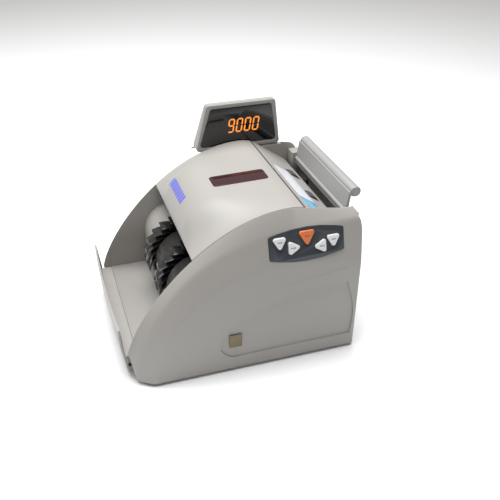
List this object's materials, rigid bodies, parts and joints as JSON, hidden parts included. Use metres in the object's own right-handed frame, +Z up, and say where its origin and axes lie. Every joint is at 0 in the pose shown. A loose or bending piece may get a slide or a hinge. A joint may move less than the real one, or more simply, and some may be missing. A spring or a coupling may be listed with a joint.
{
  "type": "banknote counting machine",
  "caption": "Desktop note counter: two arched side cheeks, lift-up cover, rear hopper with backrest, side keypad, fold-out digit display, bladed stacker wheels and front flap.",
  "frame": {"origin": "middle of the bounding box on the table surface that the feet stand on", "axes": "+X to the keypad side, -Y to the stacker and front flap, +Z up"},
  "size_m": [0.25, 0.314, 0.261],
  "materials": {
    "shell": "fine moulded texture",
    "sheet_steel": "zinc plated",
    "pin_steel": "ground",
    "foot_rubber": "matte",
    "roller_rubber": "matte",
    "blade_plastic": "glossy",
    "dark_plastic": "satin",
    "guide_plastic": "satin",
    "window": "glossy dark smoked",
    "label": "glossy film",
    "keypad": "satin film",
    "circuit_board": "solder mask",
    "white_button": "satin",
    "orange_button": "satin",
    "badge": "dull gold film",
    "display_glass": "gloss black",
    "digits": "lit digits",
    "motor_case": "plated",
    "belt_rubber": "matte",
    "core": "varnished laminations"
  },
  "bodies": {
    "chassis": {"base_pan": "sheet_steel", "rubber_feet": "foot_rubber", "left_cheek": "shell", "right_cheek": "shell", "left_frame_plate": "sheet_steel", "right_frame_plate": "sheet_steel", "tie_rods": "pin_steel", "shaft_bearings": "pin_steel", "stacker_tray": "shell", "stripper_plates": "shell", "front_ledge": "shell", "flap_pins": "pin_steel", "cover_pins": "pin_steel", "upper_guide": "guide_plastic", "lower_guide": "guide_plastic", "hopper_plate": "shell", "hopper_label": "label", "rear_cover": "shell", "backrest_pins": "pin_steel", "keypad_plate": "keypad", "keypad_board": "circuit_board", "badge": "badge", "display_pin": "pin_steel", "motor_can": "motor_case", "motor_bracket": "sheet_steel", "drive_belts": "belt_rubber", "main_board": "circuit_board", "transformer": "core", "power_inlet": "dark_plastic", "count_sensors": "dark_plastic", "case_screws": "pin_steel"},
    "stop_flap": {"stop_flap": "shell"},
    "top_cover": {"top_cover": "shell", "cover_window": "window"},
    "backrest": {"backrest_plate": "shell", "grip_bar": "shell"},
    "display": {"display_housing": "shell", "display_bezel": "shell", "display_glass": "display_glass", "digit_module": "digits"},
    "down_button_1": {"button_down_1": "white_button"},
    "right_button": {"button_right": "white_button"},
    "start_button": {"button_start": "orange_button"},
    "left_button": {"button_left": "white_button"},
    "down_button_2": {"button_down_2": "white_button"},
    "impellers": {"impeller_shaft": "pin_steel", "left_impeller": "blade_plastic", "right_impeller": "blade_plastic", "impeller_pulley": "dark_plastic"},
    "drum": {"drum_shaft": "pin_steel", "drum_rollers": "roller_rubber", "drum_pulleys": "dark_plastic"},
    "feed": {"feed_shaft": "pin_steel", "feed_rollers": "roller_rubber", "feed_pulley": "dark_plastic"},
    "motor_rotor": {"motor_shaft": "pin_steel"},
    "retard": {"retard_carrier": "dark_plastic", "retard_rollers": "roller_rubber"},
    "knob": {"gap_knob": "dark_plastic"},
    "rocker": {"power_rocker": "dark_plastic"}
  },
  "joints": [
    {"name": "flap_tilt", "type": "hinge", "parent": "chassis", "child": "stop_flap", "pos_m": [0, -0.138, 0.013], "axis": [1, 0, 0], "range_deg": [0, 60]},
    {"name": "cover_lift", "type": "hinge", "parent": "chassis", "child": "top_cover", "pos_m": [0, 0.07212, 0.2014], "axis": [-1, 0, 0], "range_deg": [0, 70]},
    {"name": "backrest_tilt", "type": "hinge", "parent": "chassis", "child": "backrest", "pos_m": [0, 0.139, 0.178], "axis": [-1, 0, 0], "range_deg": [0, 60]},
    {"name": "display_fold", "type": "hinge", "parent": "chassis", "child": "display", "pos_m": [-0.118, 0.06, 0.197], "axis": [0, -1, 0], "range_deg": [0, 90]},
    {"name": "down_1_press", "type": "slide", "parent": "chassis", "child": "down_button_1", "axis": [-0.9565, 0, -0.2916], "range_m": [0, 0.0015], "stiffness_N_per_m": 300},
    {"name": "right_press", "type": "slide", "parent": "chassis", "child": "right_button", "axis": [-0.9565, 0, -0.2916], "range_m": [0, 0.0015], "stiffness_N_per_m": 300},
    {"name": "start_press", "type": "slide", "parent": "chassis", "child": "start_button", "axis": [-0.9565, 0, -0.2916], "range_m": [0, 0.0015], "stiffness_N_per_m": 300},
    {"name": "left_press", "type": "slide", "parent": "chassis", "child": "left_button", "axis": [-0.9565, 0, -0.2916], "range_m": [0, 0.0015], "stiffness_N_per_m": 300},
    {"name": "down_2_press", "type": "slide", "parent": "chassis", "child": "down_button_2", "axis": [-0.9565, 0, -0.2916], "range_m": [0, 0.0015], "stiffness_N_per_m": 300},
    {"name": "drum_spin", "type": "hinge", "parent": "chassis", "child": "drum", "pos_m": [0, 0.08167, 0.11965], "axis": [1, 0, 0], "continuous": true},
    {"name": "impeller_spin", "type": "hinge", "parent": "chassis", "child": "impellers", "pos_m": [0, -0.04, 0.086], "axis": [1, 0, 0], "continuous": true},
    {"name": "feed_spin", "type": "hinge", "parent": "chassis", "child": "feed", "pos_m": [0, 0.10467, 0.16565], "axis": [1, 0, 0], "continuous": true},
    {"name": "motor_spin", "type": "hinge", "parent": "chassis", "child": "motor_rotor", "pos_m": [0, 0.06167, 0.042], "axis": [1, 0, 0], "continuous": true},
    {"name": "retard_shift", "type": "slide", "parent": "chassis", "child": "retard", "axis": [0, -0.9063, 0.4226], "range_m": [-0.0003, 0.0003]},
    {"name": "knob_turn", "type": "hinge", "parent": "chassis", "child": "knob", "pos_m": [-0.05, 0.15, 0.15441], "axis": [0, 1, 0], "range_deg": [-180, 180]},
    {"name": "rocker_tilt", "type": "hinge", "parent": "chassis", "child": "rocker", "pos_m": [-0.02, 0.147, 0.03], "axis": [1, 0, 0], "range_deg": [-8, 8]}
  ],
  "couplings": [
    {"joint": "impeller_spin", "follows": "drum_spin", "ratio": 0.7},
    {"joint": "feed_spin", "follows": "drum_spin", "ratio": 1.2},
    {"joint": "motor_spin", "follows": "drum_spin", "ratio": 2.25},
    {"joint": "knob_turn", "follows": "retard_shift", "rad_per_m": 10472}
  ]
}
